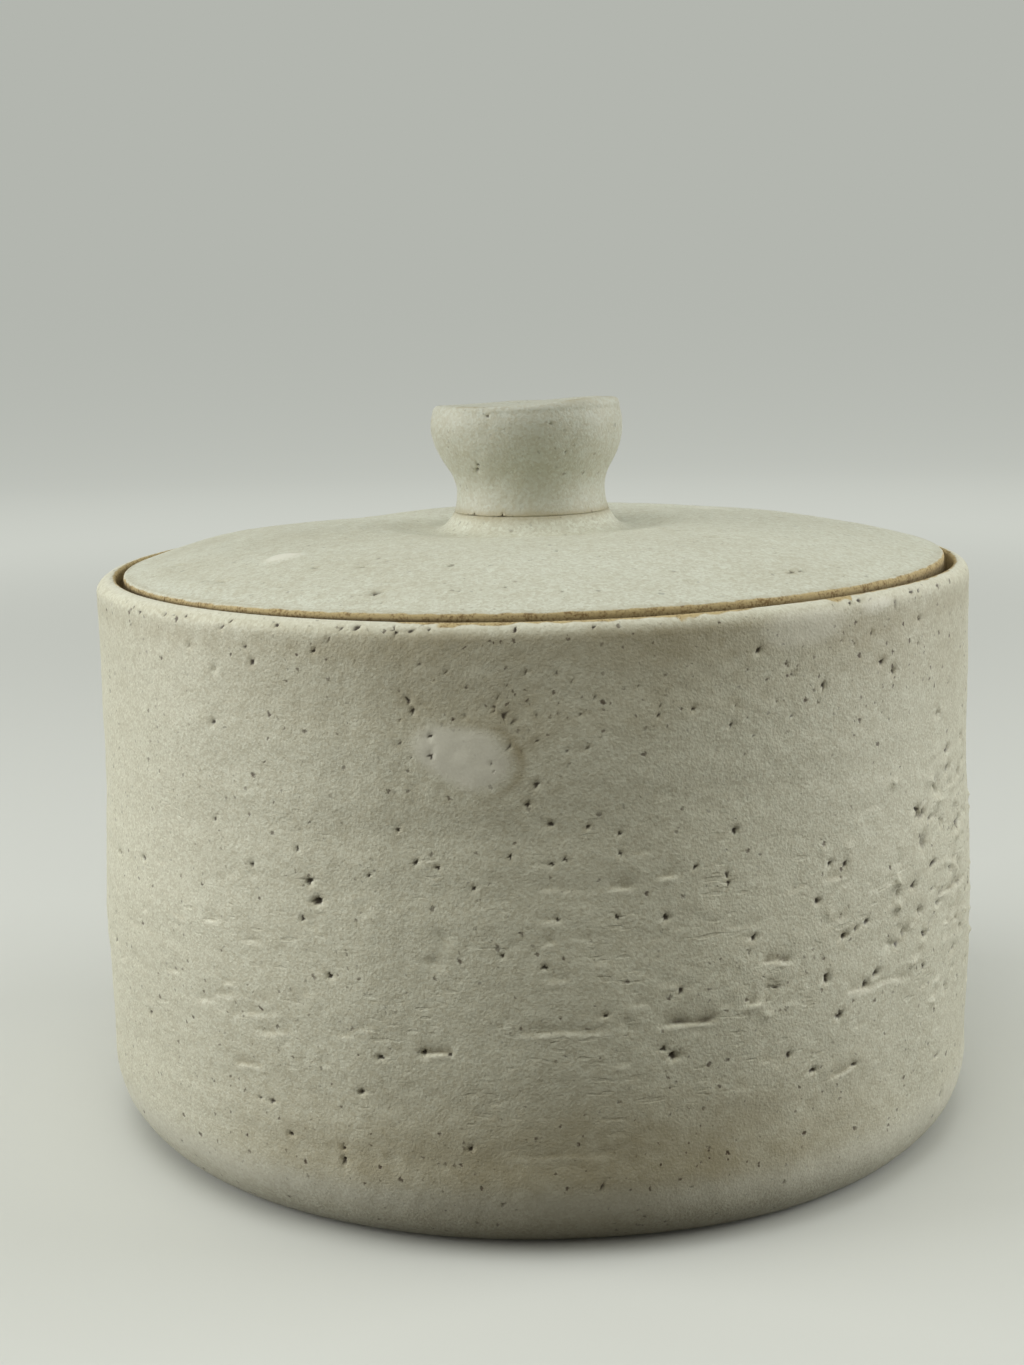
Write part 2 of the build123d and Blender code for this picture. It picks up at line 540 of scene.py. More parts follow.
class TurnedSurface:
    """Points of a turned piece: rings of columns, one ring for each row of its outline.

    A point lies at (r sin a, -r cos a, z), where a is its azimuth and r and z are the outline's radius
    and height at its distance along the outline, moved along the outward normal by its relief. An even
    azimuth e becomes e less front_gather times the sine of e, so columns stand closer at the front.
    """

    front_gather = 20.0

    def __init__(self, outline: Outline, columns: Sequence[tuple[float, int]]) -> None:
        """Lay out the rings.

        Args:
            outline: the half-section.
            columns: how many columns a ring has, up to a distance along the outline. Where the number
                changes, the larger is a multiple of the smaller.
        """
        self.outline = outline
        radii = np.interp(outline.rows, outline.along, outline.radius)
        rows = outline.rows[radii > 0.0]
        limits, counts = zip(*columns)
        self.counts = np.array(counts)[np.searchsorted(limits, rows)]
        self.starts = np.concatenate([[0], np.cumsum(self.counts)])
        ring = np.repeat(np.arange(len(rows)), self.counts)
        column = np.arange(self.starts[-1]) - self.starts[ring]
        even = 360.0 * column / self.counts[ring]
        self.azimuth = even - self.front_gather * np.sin(np.radians(even))
        self.along = rows[ring]
        self.closed = (radii[0] == 0.0, radii[-1] == 0.0)
        poles = outline.rows[[0, -1]][list(self.closed)]
        self.azimuth = np.concatenate([self.azimuth, np.zeros(len(poles))])
        self.along = np.concatenate([self.along, poles])
        self.relief = np.zeros(len(self.along))
        self.marks = {name: np.zeros(len(self.along)) for name in ("glaze", "thin", "smooth", "pit", "drag")}

    def on_outline(self, samples: np.ndarray) -> np.ndarray:
        """Read what was sampled along the outline at each point."""
        return np.interp(self.along, self.outline.along, samples)

    @property
    def radius(self) -> np.ndarray:
        """Give each point's radius on the plain outline."""
        return self.on_outline(self.outline.radius)

    @property
    def height(self) -> np.ndarray:
        """Give each point's height on the plain outline."""
        return self.on_outline(self.outline.height)

    @property
    def turn(self) -> np.ndarray:
        """Give each point's azimuth between -180 and 180."""
        return wrapped(self.azimuth)

    def points(self) -> np.ndarray:
        """Work out the points, one row each, with their relief."""
        radius = self.radius + self.relief * self.on_outline(self.outline.normal_out)
        height = self.height + self.relief * self.on_outline(self.outline.normal_up)
        bearing = np.radians(self.azimuth)
        return np.stack([radius * np.sin(bearing), -radius * np.cos(bearing), height], axis=1)

    def offsets(self, azimuth: float, along: float) -> tuple[np.ndarray, np.ndarray]:
        """Measure from a spot to each point: round the piece to the right, and along the outline."""
        return np.radians(wrapped(self.azimuth - azimuth)) * self.radius, self.along - along

    def raise_mark(self, name: str, near: np.ndarray | slice, values: np.ndarray) -> None:
        """Raise a mark to the given values at some of the points, where it is lower."""
        self.marks[name][near] = np.maximum(self.marks[name][near], values)

    def crowd(self, azimuth: float, along: float, sideways: Crowding, upwards: Crowding) -> None:
        """Draw the points round a spot closer together, so that a small mark there gets enough of them.

        A point at a share s of the reach from the spot goes to s times (c + (1 - c) e(s)) of it, where e
        eases from 0 to 1 and c is the closeness at the spot, so points beyond the reach stay.

        Args:
            azimuth: where the spot is.
            along: the same, along the outline.
            sideways: how points are drawn in from the left and right.
            upwards: how points are drawn in from below and above.
        """
        across, up = self.offsets(azimuth, along)
        distance = np.hypot(across / sideways.reach, up / upwards.reach)
        near = distance < 1.0
        away = 1.0 - smooth_step(distance[near])
        shift = (sideways.closeness - 1.0) * away * across[near]
        self.azimuth[near] += np.degrees(shift / self.radius[near])
        self.along[near] += (upwards.closeness - 1.0) * away * up[near]

    def faces(self) -> tuple[np.ndarray, np.ndarray]:
        """Join the rings.

        Rings of equal columns are joined by quads. Between a fine ring and a coarse one, each edge of
        the fine ring and the nearest coarse point make a triangle, and so do each edge of the coarse
        ring and the fine point over its middle. At the axis, a ring closes on a pole.

        Returns:
            The quads and the triangles, as rows of point numbers, facing outwards.
        """
        below, above = self.counts[:-1], self.counts[1:]
        quads = []
        for count in np.unique(self.counts):
            column = np.arange(count)
            beside = (column + 1) % count
            ring = np.flatnonzero((below == count) & (above == count))[:, None]
            low, high = self.starts[ring], self.starts[ring + 1]
            corners = [low + column, low + beside, high + beside, high + column]
            quads.append(np.stack(corners, axis=-1).reshape(-1, 4))
        triangles = [np.zeros((0, 3), int)]
        for ring in np.flatnonzero(below != above):
            fine, coarse = (ring, ring + 1) if below[ring] > above[ring] else (ring + 1, ring)
            ratio = self.counts[fine] // self.counts[coarse]
            edge = np.arange(self.counts[fine])
            cell = np.arange(self.counts[coarse])
            start, beside = self.starts[fine], (edge + 1) % self.counts[fine]
            corner = self.starts[coarse] + (edge + ratio // 2) // ratio % self.counts[coarse]
            fan = np.stack([start + edge, start + beside, corner], axis=1)
            middle = start + cell * ratio + ratio // 2
            after = self.starts[coarse] + (cell + 1) % self.counts[coarse]
            gap = np.stack([middle, after, self.starts[coarse] + cell], axis=1)
            both = np.concatenate([fan, gap])
            triangles.append(both if fine == ring else both[:, ::-1])
        pole = self.starts[-1]
        for closed, ring, turned in zip(self.closed, (0, len(self.counts) - 1), (True, False)):
            if closed:
                column = np.arange(self.counts[ring])
                beside = (column + 1) % self.counts[ring]
                start = self.starts[ring]
                cap = np.stack([start + column, start + beside, np.full_like(column, pole)], axis=1)
                triangles.append(cap[:, ::-1] if turned else cap)
                pole += 1
        return np.concatenate(quads), np.concatenate(triangles)

    def write(self, name: str, points: np.ndarray, material: bpy.types.Material) -> bpy.types.Object:
        """Put the surface into a smooth-shaded object.

        Args:
            name: the object's name.
            points: the points in millimetres.
            material: its finish.

        Returns:
            The object, at the origin, with the marks as attributes of its points.
        """
        quads, triangles = self.faces()
        mesh = bpy.data.meshes.new(name)
        mesh.vertices.add(len(points))
        mesh.vertices.foreach_set("co", (points * MM).astype(np.float32).ravel())
        mesh.loops.add(quads.size + triangles.size)
        corners = np.concatenate([quads.ravel(), triangles.ravel()])
        mesh.loops.foreach_set("vertex_index", corners.astype(np.int32))
        mesh.polygons.add(len(quads) + len(triangles))
        starts = np.concatenate([4 * np.arange(len(quads)), quads.size + 3 * np.arange(len(triangles))])
        mesh.polygons.foreach_set("loop_start", starts.astype(np.int32))
        mesh.polygons.foreach_set("use_smooth", np.ones(len(starts), bool))
        for mark, values in self.marks.items():
            mesh.attributes.new(mark, "FLOAT", "POINT").data.foreach_set("value", values.astype(np.float32))
        mesh.update(calc_edges=True)
        mesh.validate()
        mesh.materials.append(material)
        made = bpy.data.objects.new(name, mesh)
        bpy.context.scene.collection.objects.link(made)
        return made


class Pit(NamedTuple):
    """A burst bubble or a lost grain of sand: a small steep dimple with a dark floor.

    Its depth is a share of its width. A wide shallow one is a dent, and one of negative depth a lump.
    """

    azimuth: float
    place: float
    width: float
    depth: float = 0.6
    darkness: float = 1.0

    def gather(self, surface: TurnedSurface, along: float) -> None:
        """Draw points in round the dimple."""
        surface.crowd(self.azimuth, along, Crowding(reach=2.6, closeness=0.26),
                      Crowding(reach=2.2, closeness=0.34))

    def press(self, surface: TurnedSurface, along: float) -> None:
        """Push the dimple into a surface.

        Its depth falls as (1 - d squared) squared, where d is the distance from its middle as a share of
        its half width. The half width varies round the dimple as two cosines, of two and three waves. A
        low rounded rim stands round it, and a faint stain reaches a little further.

        Args:
            surface: what it is pushed into.
            along: where its middle is along the outline.
        """
        across, up = surface.offsets(self.azimuth, along)
        near = (np.abs(across) < 4.0 * self.width) & (np.abs(up) < 4.0 * self.width)
        across, up = across[near], up[near]
        bearing = np.arctan2(up, across)
        outline = 1.0 + 0.2 * np.cos(2.0 * bearing + self.azimuth) + 0.14 * np.cos(3.0 * bearing + self.place)
        distance = np.hypot(across, up) / (0.5 * self.width * outline)
        inside = np.clip(1.0 - distance ** 2, 0.0, 1.0)
        rim = 0.06 * bell(distance - 1.3, 0.3)
        surface.relief[near] += self.width * self.depth * (rim - inside ** 2)
        surface.marks["thin"][near] += 0.2 * self.darkness * bell(distance, 1.8)
        surface.raise_mark("pit", near, self.darkness * (1.0 - rise(distance, 0.4, 0.95)))


class Tear(NamedTuple):
    """A groove that a dragged grain of sand left in the turning clay, with a lip pushed up below it."""

    azimuth: float
    place: float
    length: float
    depth: float
    slant: float = 0.0
    spread: float = 0.8

    def gather(self, surface: TurnedSurface, along: float) -> None:
        """Draw rows of points in towards the groove."""
        surface.crowd(self.azimuth, along, Crowding(0.8 * self.length, closeness=1.0),
                      Crowding(reach=2.4, closeness=0.45))

    def press(self, surface: TurnedSurface, along: float) -> None:
        """Draw the groove into a surface.

        The groove is deepest at its sharp lower edge and runs out upwards as a falling exponential, and is
        darkened with painted shade. A low bell curve of smooth clay stands below the edge, lightened with a
        painted highlight. Both waver a little, come and go along the run, and end a little before its ends.

        Args:
            surface: what it is drawn into.
            along: where its middle is along the outline.
        """
        across, up = surface.offsets(self.azimuth, along)
        near = (np.abs(across) < self.length) & (np.abs(up) < 6.0)
        across, up = across[near], up[near]
        share = across / self.length
        level = up - self.slant * share - 0.12 * np.sin(0.9 * across + self.azimuth)
        run = window(share, 0.42, 0.1) * (0.8 + 0.2 * np.sin(1.8 * across + 3.0 * self.azimuth))
        groove = run * np.exp(-np.clip(level, 0.0, None) / self.spread) * rise(level, -0.25, 0.15)
        lip = run * bell(level + 0.42, 0.28)
        surface.relief[near] += self.depth * (0.28 * lip - groove)
        # The groove gets painted shade and the lip a painted highlight, on top of their real relief.
        surface.marks["thin"][near] += 1.6 * self.depth * groove
        surface.raise_mark("smooth", near, min(0.35, 0.9 * self.depth) * lip)
        surface.raise_mark("pit", near, max(0.0, 2.4 * self.depth - 0.45) * groove)


class Patch(NamedTuple):
    """A spot where the glaze pooled thick: it stands a little proud, smooth and pale."""

    azimuth: float
    place: float
    half_width: float
    half_height: float
    thickness: float
    paleness: float = 1.0
    softness: float = 0.25
    slant: float = 0.0
    ring: float = 0.0

    def press(self, surface: TurnedSurface, along: float) -> None:
        """Raise the pool on a surface: flat inside a lobed ellipse, easing off towards its edge.

        On the right a bell curve round the edge is a ring of thin glaze.

        Args:
            surface: what it lies on.
            along: where its middle is along the outline.
        """
        across, up = surface.offsets(self.azimuth, along)
        lobes = 1.0 + 0.06 * np.cos(3.0 * np.arctan2(up, across) + self.azimuth)
        distance = np.hypot(across / self.half_width, (up - self.slant * across) / self.half_height) / lobes
        pool = 1.0 - rise(distance, 1.05 - self.softness, 1.05)
        surface.relief += self.thickness * pool
        surface.raise_mark("smooth", slice(None), self.paleness * pool)
        surface.marks["thin"] += self.ring * bell(distance - 1.07, 0.09) * rise(across, 0.0, self.half_width)


class PotEnd(IntEnum):
    """Ends of the stretches of the pot's outline that something is measured from, by their number."""

    RECESS = 1
    FOOT = 3
    LIP_BASE = 7
    LIP = 8
    LIP_EDGE = 9
    GALLERY_WALL = 10
    GALLERY_CORNER = 11
    THROAT = 14


@dataclass
class JarBody:
    """The pot: foot, heel, wall, lip, gallery and inside, thrown in one piece.

    The listed pits, tears and patches are placed by azimuth and height, where the large ones show.
    """

    belly_radius: float
    rim_height: float
    recess_radius: float = 45.9
    recess_height: float = 1.2
    foot_inner_radius: float = 47.9
    foot_outer_radius: float = 56.9
    heel_radius: float = 65.5
    heel_height: float = 12.0
    belly_height: float = 30.5
    waist_radius: float = 64.5
    waist_height: float = 61.0
    rim_radius: float = 64.4
    lip_height: float = 1.8
    lip_crown_radius: float = 62.9
    lip_edge: float = 0.5
    gallery_depth: float = 4.0
    gallery_corner: float = 0.8
    ledge_radius: float = 57.8
    ledge_edge: float = 1.0
    throat_height: float = 3.0
    inner_waist_radius: float = 59.7
    inner_waist_height: float = 66.0
    inner_belly_radius: float = 60.9
    inner_heel_height: float = 17.7
    floor_radius: float = 49.9
    floor_height: float = 6.7
    coarse_columns: int = 120
    gallery_columns: int = 240
    fine_columns: int = 480
    front_width: float = 68.0
    scatter_seed: int = 5
    hidden_pits: int = 90
    hidden_tears: int = 40
    fine_tears: int = 220
    torn_spots: int = 110
    burst_bubbles: int = 50
    ripples: Sequence[Ripple] = (
        Ripple(0.13, 60.0, 11), Ripple(0.06, 21.0, 12), Ripple(0.03, 5.5, 13, (12.0, 12.0, 1.0)),
        Ripple(0.025, 8.0, 14, (1.0, 1.0, 9.0)), Ripple(0.018, 2.6, 15),
    )
    full_heel: Sector = Sector(0.8, 68.0, 34.0, 34.0)
    trim_depth: float = 0.05
    trim_pitch: float = 4.0
    throw_depth: float = 0.16
    throw_pitch: float = 9.0
    lip_tip: float = 0.24
    lip_hump: Bell = Bell(0.5, 45.0, 38.0)
    lip_swell: float = 0.3
    bare_lip: Sequence[Sector] = (
        Sector(0.3, -10.0, 5.0, 2.0), Sector(0.65, 37.5, 1.6, 0.8), Sector(0.55, 3.0, 14.0, 5.0),
        Sector(0.5, 20.0, 4.0, 2.0), Sector(0.2, 52.0, 16.0, 8.0),
    )
    bare_fringe: Ripple = Ripple(0.3, 2.4, 18)
    thinness: float = 0.15
    thin_band: Sector = Sector(0.25, 20.0, 30.0, 30.0)
    band_height: float = 69.0
    band_sway: float = 2.0
    band_ripple: Ripple = Ripple(0.8, 14.0, 16)
    band_streak: Sector = Sector(0.3, 10.0, 12.0, 8.0)
    # Painted shade on the heel, strongest at the front.
    heel_shade: Sector = Sector(0.7, 2.0, 18.0, 34.0)
    heel_ripple: Ripple = Ripple(0.1, 7.0, 17)
    heel_pool: Bell = Bell(0.4, 7.5, 2.4)
    # Painted shade in a band under the lip and on the lip's front.
    under_lip_shade: Bell = Bell(0.25, 78.6, 1.6)
    lip_front_shade: Sector = Sector(0.4, 8.0, 18.0, 16.0)
    pits: Sequence[Pit] = (
        Pit(-26, 46.5, 1.5), Pit(-27, 49, 1.1), Pit(13, 28, 0.9), Pit(14, 27, 1.3), Pit(34, 33.5, 1.3),
        Pit(36, 28, 1.2), Pit(13.5, 45, 1.0), Pit(22, 55, 1.0), Pit(24, 41, 1.0), Pit(42.5, 32, 1.3),
        Pit(37, 38.5, 1.2), Pit(33, 44, 1.0), Pit(32, 21.5, 1.0), Pit(28.5, 24.5, 0.9),
        Pit(38.5, 20.5, 0.9), Pit(35, 48.5, 0.9), Pit(37.5, 48, 0.8), Pit(39, 39, 0.9),
        Pit(41, 39.5, 0.9), Pit(40.5, 31, 1.0), Pit(46.5, 35, 1.0), Pit(50.5, 42, 1.0),
        Pit(52.4, 52.1, 1.1), Pit(53.4, 51.2, 1.2), Pit(55.7, 43.6, 1.3), Pit(52.9, 34.5, 1.3),
        Pit(52.5, 30, 0.9), Pit(61.9, 55.3, 1.7), Pit(62.2, 58.2, 1.4), Pit(66.7, 53.8, 1.5),
        Pit(65.7, 46.9, 1.6), Pit(61.5, 41.2, 1.4), Pit(57, 15.5, 0.9), Pit(59, 9, 1.0),
        Pit(-28.5, 53, 0.7), Pit(-28, 44, 0.8), Pit(-35, 50, 0.8), Pit(-24.5, 37, 0.9),
        Pit(-18.5, 27, 0.9), Pit(-21, 22, 0.9), Pit(-35, 18.5, 0.7), Pit(-33, 18.5, 0.7),
        Pit(-30.5, 14.5, 0.9), Pit(-23.5, 14, 0.8), Pit(-23.5, 12.5, 0.9), Pit(-56, 24.5, 0.8),
        Pit(-56.5, 46.5, 1.1), Pit(-65.5, 45, 1.2), Pit(-41, 55, 0.6), Pit(-40.5, 68, 0.8),
        Pit(0, 39.5, 0.8), Pit(17, 51, 0.7), Pit(15, 35.5, 0.8), Pit(-13.5, 28, 0.9), Pit(-10.5, 28, 0.6),
        Pit(-1.5, 60, 0.7), Pit(-14, 52.5, 0.7), Pit(1, 57.5, 0.8), Pit(-8.5, 15.5, 0.8),
        Pit(6, 10.5, 0.8), Pit(-14.5, 73, 0.9), Pit(-4, 71, 0.6), Pit(34, 72, 0.9), Pit(44, 73.5, 0.9),
        Pit(46.5, 72, 1.0), Pit(25, 77.5, 0.8), Pit(13, 70.5, 0.5), Pit(21.5, 68.5, 0.6),
        Pit(-12, 66, 0.6), Pit(-16, 81.4, 0.6), Pit(-12, 81.4, 0.6), Pit(6, 81.4, 0.6),
        Pit(38.5, 81.4, 0.7), Pit(42, 81.4, 0.6), Pit(-14, 81.2, 0.6), Pit(-2.5, 81.4, 0.6),
        Pit(52.5, 81.2, 0.6), Pit(1.5, 45.5, 0.6), Pit(8, 45.5, 0.7), Pit(5, 57, 0.6), Pit(8.5, 56, 0.6),
        Pit(-11.5, 52, 0.7), Pit(-3.5, 53.5, 0.6), Pit(1, 52.5, 0.7), Pit(2.5, 53, 0.6),
        Pit(8.5, 53.5, 0.6), Pit(-19.5, 50.5, 0.6), Pit(-16, 56.5, 0.6), Pit(26.5, 34, 0.7),
        Pit(-0.5, 62.5, 0.7), Pit(-14, 71.5, 0.9), Pit(-12, 68.5, 0.6), Pit(17, 71, 0.6),
        Pit(-7.5, 49.5, 0.6), Pit(-4.5, 41, 0.6), Pit(6.5, 33, 0.6), Pit(26, 34, 2.4, 0.14, 0.3),
        Pit(53.4, 47.3, 3.0, 0.2, 0.5), Pit(24, 32, 2.4, -0.1, 0.0), Pit(25.5, 30.5, 2.0, -0.1, 0.0),
        Pit(34.5, 42, 1.8, -0.12, 0.0), Pit(58.1, 53.2, 2.6, 0.15, 0.3), Pit(58.1, 51.6, 1.8, -0.12, 0.0),
        Pit(34, 50.5, 1.6, -0.1, 0.0), Pit(38, 50, 1.6, -0.1, 0.0), Pit(9, 31.5, 2.6, 0.08, 0.25),
        Pit(-11, 43, 2.8, 0.08, 0.2), Pit(-12, 40, 2.6, 0.1, 0.3), Pit(-60.5, 81.3, 0.6),
        Pit(-57.5, 81, 0.5), Pit(-55.5, 80.5, 0.6), Pit(-49.5, 81, 0.7), Pit(-47.5, 81, 0.5),
        Pit(-45.5, 81.1, 0.6), Pit(-38.5, 80.5, 0.7), Pit(-37.5, 81.2, 0.5), Pit(-34, 76.5, 0.8),
        Pit(-40, 75, 1.2, 0.3, 0.3), Pit(-44.5, 77.5, 0.8, 0.4, 0.5), Pit(-35, 78.3, 0.6),
        Pit(-30.5, 81.2, 0.6), Pit(-25.5, 78.6, 0.6), Pit(-23.5, 80.1, 0.6), Pit(-22.3, 81.3, 0.6),
        Pit(-20.3, 81.4, 0.9), Pit(-15.7, 81, 0.5), Pit(50.8, 81.3, 0.7), Pit(58.5, 81, 0.7),
        Pit(40.3, 81.5, 0.6), Pit(52.5, 77.9, 0.8), Pit(42, 77.7, 0.6), Pit(62.5, 67.5, 0.6),
        Pit(52.3, 74.6, 0.6), Pit(46.7, 80.5, 1.6, 0.1, 0.5), Pit(-4.1, 69.4, 0.6, 0.3, 0.9),
        Pit(-3.5, 69.2, 0.4, 0.3, 0.6), Pit(-2.4, 68.9, 0.5, 0.3, 0.6), Pit(-4.4, 67.7, 0.4, 0.2, 0.5),
        Pit(-3.4, 67.2, 0.7, 0.3, 0.8), Pit(-2.1, 66.7, 0.5, 0.2, 0.5), Pit(-8.2, 71.1, 0.7, 0.2, 0.5),
        Pit(45.4, 35.3, 2.0, 0.2, 0.4), Pit(20.9, 49.4, 0.7), Pit(21.0, 48.5, 0.6),
    )
    tears: Sequence[Tear] = (
        Tear(16, 31, 8, 0.55, 0.1, 0.9), Tear(-12, 28, 4.2, 0.5, 0.2, 0.6), Tear(2, 31, 12, 0.28),
        Tear(8.5, 49, 3.3, 0.35), Tear(0.8, 49.3, 2.3, 0.15), Tear(9.8, 45.7, 1.7, 0.15),
        Tear(14, 50, 3.3, 0.2), Tear(1.4, 37.7, 3.1, 0.22), Tear(14.4, 36, 3.9, 0.2, -1.1),
        Tear(10.4, 34.2, 2.5, 0.2), Tear(24.5, 32.5, 3.6, 0.42, 0.0, 0.9),
        Tear(27, 37.2, 4.2, 0.5, -0.5, 0.9), Tear(40, 30.5, 6, 0.38, -0.4, 0.5),
        Tear(46, 30, 8.5, 0.28, -1.3, 0.6), Tear(36.5, 20, 4.4, 0.35, 0.6),
        Tear(62, 38.5, 12.5, 0.46, -0.5, 0.5), Tear(63, 35, 13, 0.3, -1.4, 0.6),
        Tear(63.5, 33.4, 13, 0.25, -2), Tear(64, 31.3, 11, 0.25, -1.5), Tear(36, 46.5, 4.7, 0.3),
        Tear(23, 42.6, 5, 0.2), Tear(3, 49, 8, 0.1), Tear(1.5, 14.5, 15, 0.08),
        Tear(-40, 31.5, 4.8, 0.22, 1.0), Tear(-34, 32, 2.2, 0.24), Tear(-27.7, 34, 1.6, 0.2),
        Tear(-43, 30, 5, 0.2, 0.8), Tear(-49.5, 32.3, 3.8, 0.2, 0.4), Tear(-35, 30, 8.5, 0.2, 1.7),
        Tear(-32.5, 28, 5.8, 0.24, 0.9), Tear(-23, 29.2, 2.2, 0.24), Tear(-36.5, 22.6, 4.9, 0.26, 0.3),
        Tear(-41.5, 41.3, 3, 0.2, 0.6), Tear(-27, 43, 2.3, 0.25, -1.0),
    )
    patches: Sequence[Patch] = (
        Patch(-8.4, 66.0, 7.0, 4.4, 0.08, 0.9, 0.4, -0.18, 0.6),
        Patch(31, 79.5, 8.5, 3.0, 0.07, 0.45, 0.6), Patch(43, 81, 4.0, 1.2, 0.05, 0.4, 0.5),
    )

    @classmethod
    def from_frame(cls) -> "JarBody":
        """Take the widest radius and the height from the CAD node."""
        _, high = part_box("jar_body")
        return cls(belly_radius=high.x / MM, rim_height=high.z / MM)

    def outline(self) -> Outline:
        """Draw the half-section: under the foot, up the outside, over the lip and down the inside."""
        gallery = self.lip_crown_radius - self.lip_edge
        ledge = self.rim_height - self.gallery_depth
        throat = self.ledge_radius - self.ledge_edge
        lip_base = self.rim_height - self.lip_height
        return Outline(0.0, self.recess_height, [
            Stretch(self.recess_radius, self.recess_height, 1.2),
            Stretch(self.foot_inner_radius, 0.0, 0.8),
            Stretch(self.foot_outer_radius, 0.0, 1.6),
            turn_upright(self.heel_radius, self.heel_height, 1.0),
            Stretch(self.belly_radius, self.belly_height, 0.47, Gait.EASED),
            Stretch(self.waist_radius, self.waist_height, 0.47, Gait.EASED),
            Stretch(self.rim_radius, lip_base, 0.6, Gait.EASED),
            turn_level(self.lip_crown_radius, self.rim_height, 0.5),
            turn_upright(gallery, self.rim_height - self.lip_edge, 0.2),
            Stretch(gallery, ledge + self.gallery_corner, 0.8),
            turn_level(gallery - self.gallery_corner, ledge, 0.3),
            Stretch(self.ledge_radius, ledge, 1.0),
            turn_upright(throat, ledge - self.ledge_edge, 0.4),
            Stretch(throat, ledge - self.throat_height, 1.0),
            turn_upright(self.inner_waist_radius, self.inner_waist_height, 1.4),
            Stretch(self.inner_belly_radius, self.inner_heel_height, 2.0, Gait.EASED),
            turn_level(self.floor_radius, self.floor_height, 1.2),
            Stretch(0.0, self.floor_height, 2.6),
        ])

    def scattered(self) -> tuple[list[Pit], list[Tear]]:
        """Scatter pits and tears where the photo's view doesn't reach, and fine tears all round.

        On the right, where the clay was torn most, small dents and lumps lie close together, the dents with
        painted shade on their floors. Under the lip at the front small bubbles burst.

        Returns:
            The pits and the tears.
        """
        source = np.random.default_rng(self.scatter_seed)
        hidden = 360.0 - 2.0 * self.front_width
        count = self.hidden_pits
        pits = list(map(
            Pit, self.front_width + hidden * source.uniform(size=count),
            source.normal(38.0, 14.0, count).clip(8.0, 74.0), source.uniform(0.5, 1.2, count)))
        count = self.hidden_tears
        tears = list(map(
            Tear, self.front_width + hidden * source.uniform(size=count),
            source.normal(32.0, 9.0, count).clip(14.0, 56.0), source.uniform(2.5, 9.0, count),
            source.uniform(0.08, 0.26, count), source.normal(0.0, 0.5, count)))
        count = self.fine_tears
        tears += map(
            Tear, source.uniform(0.0, 360.0, count), source.normal(36.0, 10.0, count).clip(13.0, 60.0),
            source.uniform(1.2, 3.2, count), source.uniform(0.08, 0.22, count))
        count = self.torn_spots
        azimuth = source.normal(62.0, 9.0, count).clip(47.0, 95.0)
        height = source.normal(42.0, 9.0, count).clip(24.0, 64.0)
        width = source.uniform(0.8, 1.8, count)
        depth = source.choice([-0.26, -0.18, 0.25, 0.4], count)
        # Dents get a dark floor as painted shade; lumps get none.
        pits += map(Pit, azimuth, height, width, depth, np.maximum(0.0, 1.5 * depth))
        count = self.burst_bubbles
        pits += map(
            Pit, source.uniform(-16.0, 46.0, count), source.normal(72.0, 3.5, count).clip(64.0, 77.5),
            source.uniform(0.35, 0.6, count), np.full(count, 0.35), np.full(count, 0.7))
        return pits, tears

    def outside(self, surface: TurnedSurface) -> np.ndarray:
        """Give 1 on the outside of the wall, easing to 0 at the foot and at the lip."""
        along, ends = surface.along, surface.outline.ends
        foot, lip = ends[PotEnd.FOOT], ends[PotEnd.LIP]
        return rise(along, foot + 2.0, foot + 12.0) * (1.0 - rise(along, lip - 3.0, lip + 0.4))

    def throw(self, surface: TurnedSurface, points: np.ndarray) -> None:
        """Give the surface the unevenness of thrown and trimmed clay.

        The unevenness is a sum of broad ripples, of ripples drawn out round the jar (throwing lines) and
        of ripples drawn out up the wall. It fades out at the foot and at the lip, and is half as high
        inside. The heel is a little fuller on the right. Sines of the radius plus the azimuth make the
        spirals that the trimming tool left under the foot and the thrower's fingers left on the floor.

        Args:
            surface: the pot's surface.
            points: its points without relief, in millimetres.
        """
        along, height, ends = surface.along, surface.height, surface.outline.ends
        throat, from_centre = ends[PotEnd.THROAT], ends[-1] - along
        inside = rise(along, throat + 3.0, throat + 12.0) * rise(from_centre, 0.0, 12.0)
        uneven = total(self.ripples, points)
        surface.relief += uneven * self.outside(surface) + 0.5 * uneven * inside
        heel = rise(height, 0.0, 1.6) * (1.0 - rise(height, 4.0, 13.0)) * (along < ends[PotEnd.LIP])
        surface.relief += self.full_heel.at(surface.turn) * heel
        spiral = np.radians(surface.azimuth)
        trimmed = rise(along, 2.0, 8.0) * rise(ends[PotEnd.RECESS] - along, 0.0, 3.0)
        surface.relief += self.trim_depth * np.sin(math.tau * along / self.trim_pitch + spiral) * trimmed
        thrown = rise(from_centre, 3.0, 10.0) * (1.0 - rise(from_centre, 40.0, 50.0))
        fingers = np.sin(math.tau * from_centre / self.throw_pitch + spiral)
        surface.relief += self.throw_depth * fingers * thrown

    def glaze_edges(self, surface: TurnedSurface, points: np.ndarray) -> None:
        """Say how far inside the glaze each point lies: bare are the foot, the lip's inside and the ledge.

        On parts of the lip the glaze draws back further from the inner edge, with a ragged fringe.

        Args:
            surface: the pot's surface.
            points: its points without relief, in millimetres.
        """
        along, ends = surface.along, surface.outline.ends
        drawn_back = total(self.bare_lip, surface.turn) * (1.0 + self.bare_fringe.at(points))
        outer = np.minimum(along - ends[PotEnd.FOOT] - 2.5, ends[PotEnd.LIP] + 0.1 - drawn_back - along)
        surface.marks["glaze"][:] = np.maximum(outer, along - ends[PotEnd.THROAT] - 2.0)

